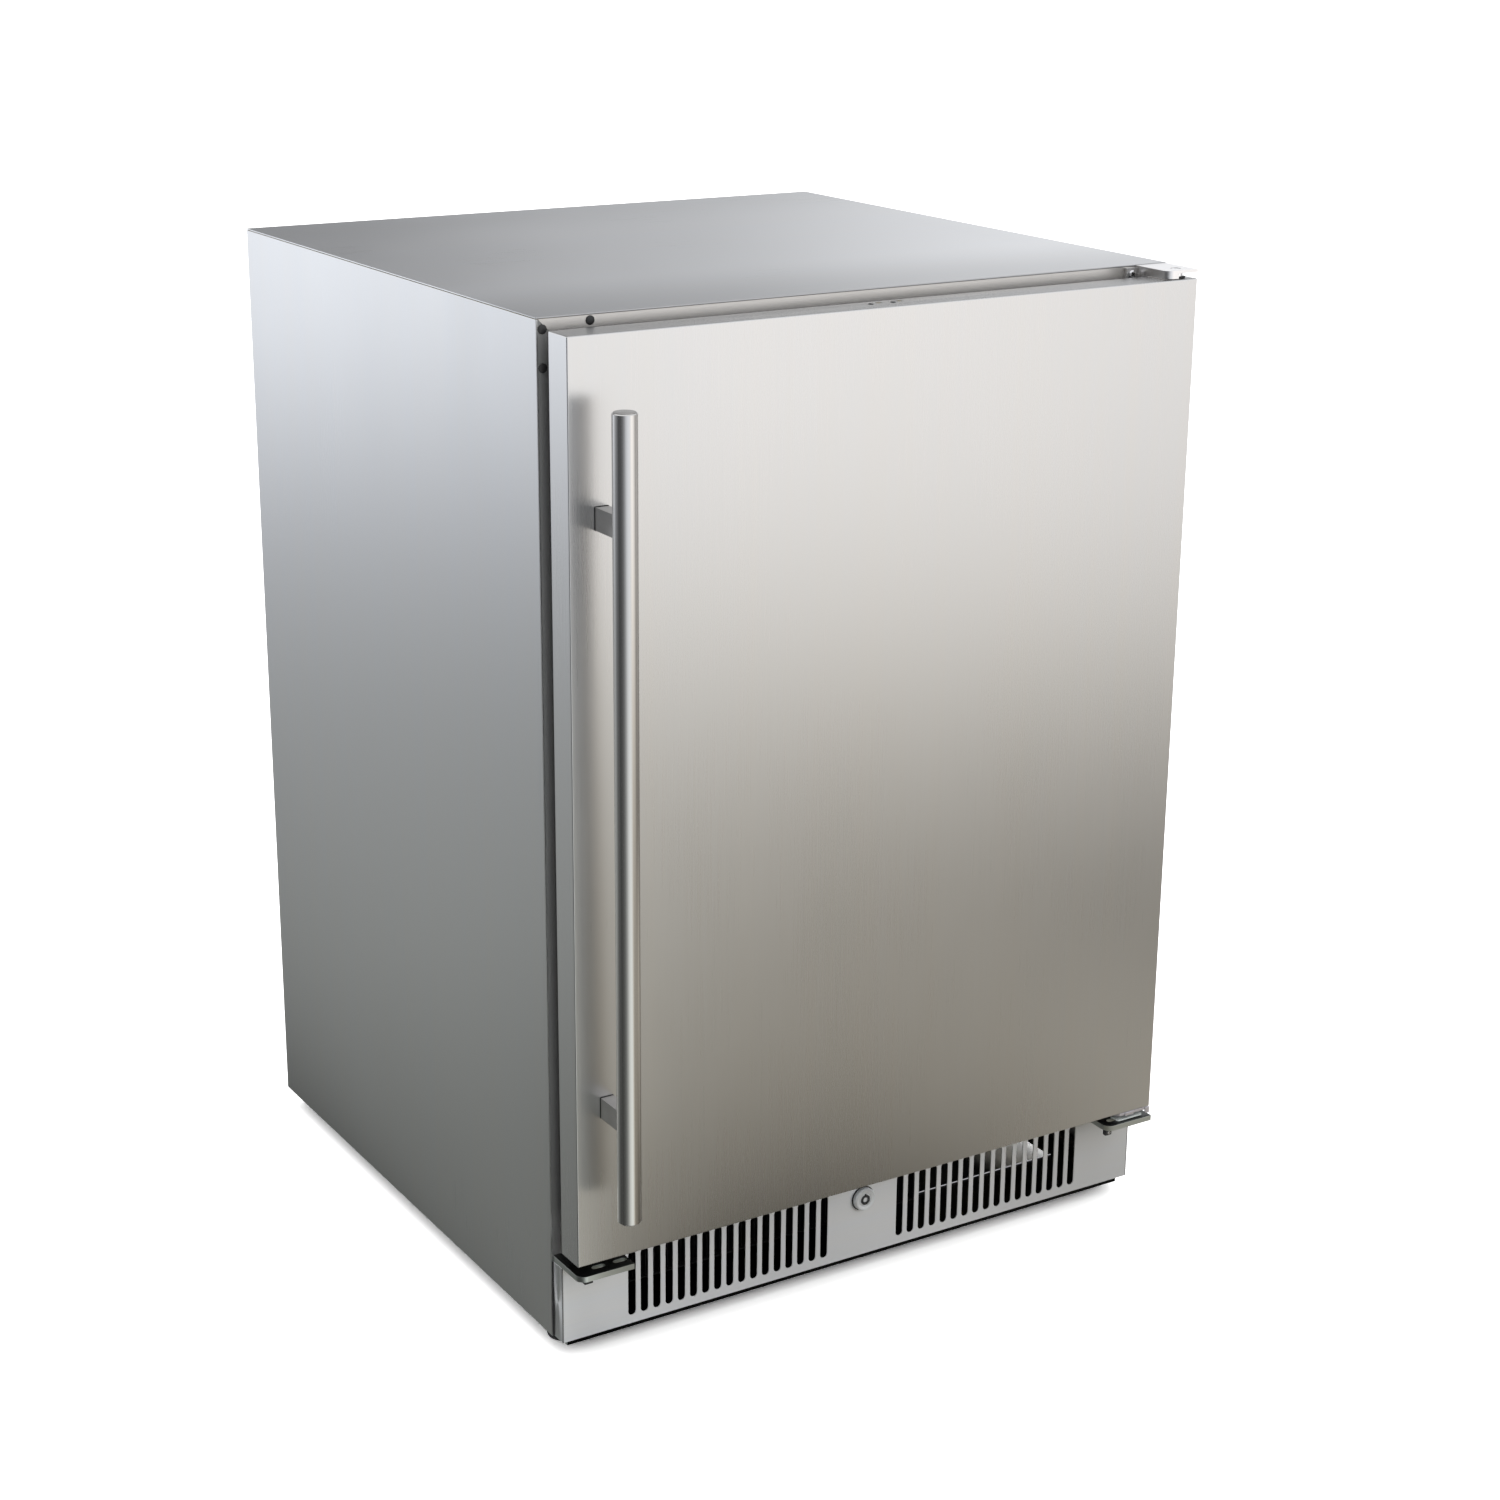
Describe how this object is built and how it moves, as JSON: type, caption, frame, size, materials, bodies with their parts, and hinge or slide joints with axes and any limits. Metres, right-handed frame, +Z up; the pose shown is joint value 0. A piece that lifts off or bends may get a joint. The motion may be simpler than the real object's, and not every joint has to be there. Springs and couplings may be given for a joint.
{
  "type": "undercounter refrigerator",
  "caption": "Stainless undercounter refrigerator: a right-hinged insulated door with bar handle, slotted toe grille with key lock, wire shelves and a front-vented cooling unit.",
  "frame": {"origin": "on the floor, under the centre of the whole object's box (feet undersides at z 0)", "axes": "+Z up, +X to the viewer's right when facing the door, +Y from the door towards the back"},
  "size_m": [0.6, 0.6544, 0.867],
  "materials": {
    "stainless": "satin",
    "galvanised": "matte",
    "bright_metal": "polished",
    "white_plastic": "satin",
    "black_plastic": "matte",
    "black_enamel": "satin",
    "aluminium": "satin",
    "seal_rubber": "matte",
    "insulation": "matte",
    "display_window": "gloss",
    "light_lens": "gloss"
  },
  "bodies": {
    "cabinet": {"side_panel_left": "stainless", "side_panel_right": "stainless", "top_panel": "stainless", "top_rail": "stainless", "bottom_rail": "stainless", "kick_plate": "stainless", "top_hinge_bracket": "stainless", "lower_hinge_bracket": "stainless", "spare_hinge_bracket": "stainless", "back_panel": "galvanised", "rear_cover": "galvanised", "wire_shelf_lower": "bright_metal", "wire_shelf_middle": "bright_metal", "wire_shelf_upper": "bright_metal", "lock_barrel": "bright_metal", "lower_hinge_pin": "bright_metal", "top_hinge_pin": "bright_metal", "top_hinge_screw": "bright_metal", "inner_liner": "white_plastic", "evaporator_cover": "white_plastic", "drain_pan": "white_plastic", "rail_plug": "black_plastic", "flange_plug_upper": "black_plastic", "flange_plug_lower": "black_plastic", "evaporator_fan_motor": "black_plastic", "control_housing": "black_plastic", "power_inlet": "black_plastic", "base_tray": "black_enamel", "compressor": "black_enamel", "condenser": "black_enamel", "condenser_fan_motor": "black_enamel", "evaporator_coil": "aluminium", "insulation_foam": "insulation", "control_display": "display_window", "light_lens": "light_lens"},
    "door": {"door_skin": "stainless", "door_foam": "insulation", "door_inner_panel": "white_plastic", "door_seal": "seal_rubber", "door_bush_upper": "black_plastic", "door_hinge_plate": "stainless", "lock_strike": "stainless", "handle_bar": "stainless", "handle_post_upper": "stainless", "handle_post_lower": "stainless"},
    "lock": {"lock_plug": "bright_metal", "lock_cam": "stainless"},
    "evaporator_fan": {"evaporator_fan": "black_plastic"},
    "condenser_fan": {"condenser_fan": "black_plastic"},
    "power_button": {"power_button": "white_plastic"},
    "light_button": {"light_button": "white_plastic"},
    "warmer_button": {"warmer_button": "white_plastic"},
    "cooler_button": {"cooler_button": "white_plastic"},
    "foot_front_left": {"foot_front_left": "black_plastic"},
    "foot_front_right": {"foot_front_right": "black_plastic"},
    "foot_rear_left": {"foot_rear_left": "black_plastic"},
    "foot_rear_right": {"foot_rear_right": "black_plastic"}
  },
  "joints": [
    {"name": "door_hinge", "type": "hinge", "parent": "cabinet", "child": "door", "pos_m": [0.285, -0.26743, 0.417], "axis": [0, 0, 1], "range_deg": [0, 115]},
    {"name": "lock_turn", "type": "hinge", "parent": "cabinet", "child": "lock", "pos_m": [0, -0.25293, 0.0725], "axis": [0, -1, 0], "range_deg": [0, 90]},
    {"name": "evaporator_fan_spin", "type": "hinge", "parent": "cabinet", "child": "evaporator_fan", "pos_m": [0, 0.25033, 0.739], "axis": [0, 1, 0], "continuous": true},
    {"name": "condenser_fan_spin", "type": "hinge", "parent": "cabinet", "child": "condenser_fan", "pos_m": [-0.07, -0.13342, 0.065], "axis": [0, 1, 0], "continuous": true},
    {"name": "power_button_press", "type": "slide", "parent": "cabinet", "child": "power_button", "axis": [0, 1, 0], "range_m": [0, 0.0012], "stiffness_N_per_m": 900, "springref_m": -0.0008},
    {"name": "light_button_press", "type": "slide", "parent": "cabinet", "child": "light_button", "axis": [0, 1, 0], "range_m": [0, 0.0012], "stiffness_N_per_m": 900, "springref_m": -0.0008},
    {"name": "warmer_button_press", "type": "slide", "parent": "cabinet", "child": "warmer_button", "axis": [0, 1, 0], "range_m": [0, 0.0012], "stiffness_N_per_m": 900, "springref_m": -0.0008},
    {"name": "cooler_button_press", "type": "slide", "parent": "cabinet", "child": "cooler_button", "axis": [0, 1, 0], "range_m": [0, 0.0012], "stiffness_N_per_m": 900, "springref_m": -0.0008},
    {"name": "foot_front_left_turn", "type": "hinge", "parent": "cabinet", "child": "foot_front_left", "pos_m": [-0.275, -0.21243, 0.0075], "axis": [0, 0, 1], "continuous": true},
    {"name": "foot_front_right_turn", "type": "hinge", "parent": "cabinet", "child": "foot_front_right", "pos_m": [0.275, -0.21243, 0.0075], "axis": [0, 0, 1], "continuous": true},
    {"name": "foot_rear_left_turn", "type": "hinge", "parent": "cabinet", "child": "foot_rear_left", "pos_m": [-0.262, 0.29257, 0.0075], "axis": [0, 0, 1], "continuous": true},
    {"name": "foot_rear_right_turn", "type": "hinge", "parent": "cabinet", "child": "foot_rear_right", "pos_m": [0.262, 0.29257, 0.0075], "axis": [0, 0, 1], "continuous": true}
  ]
}
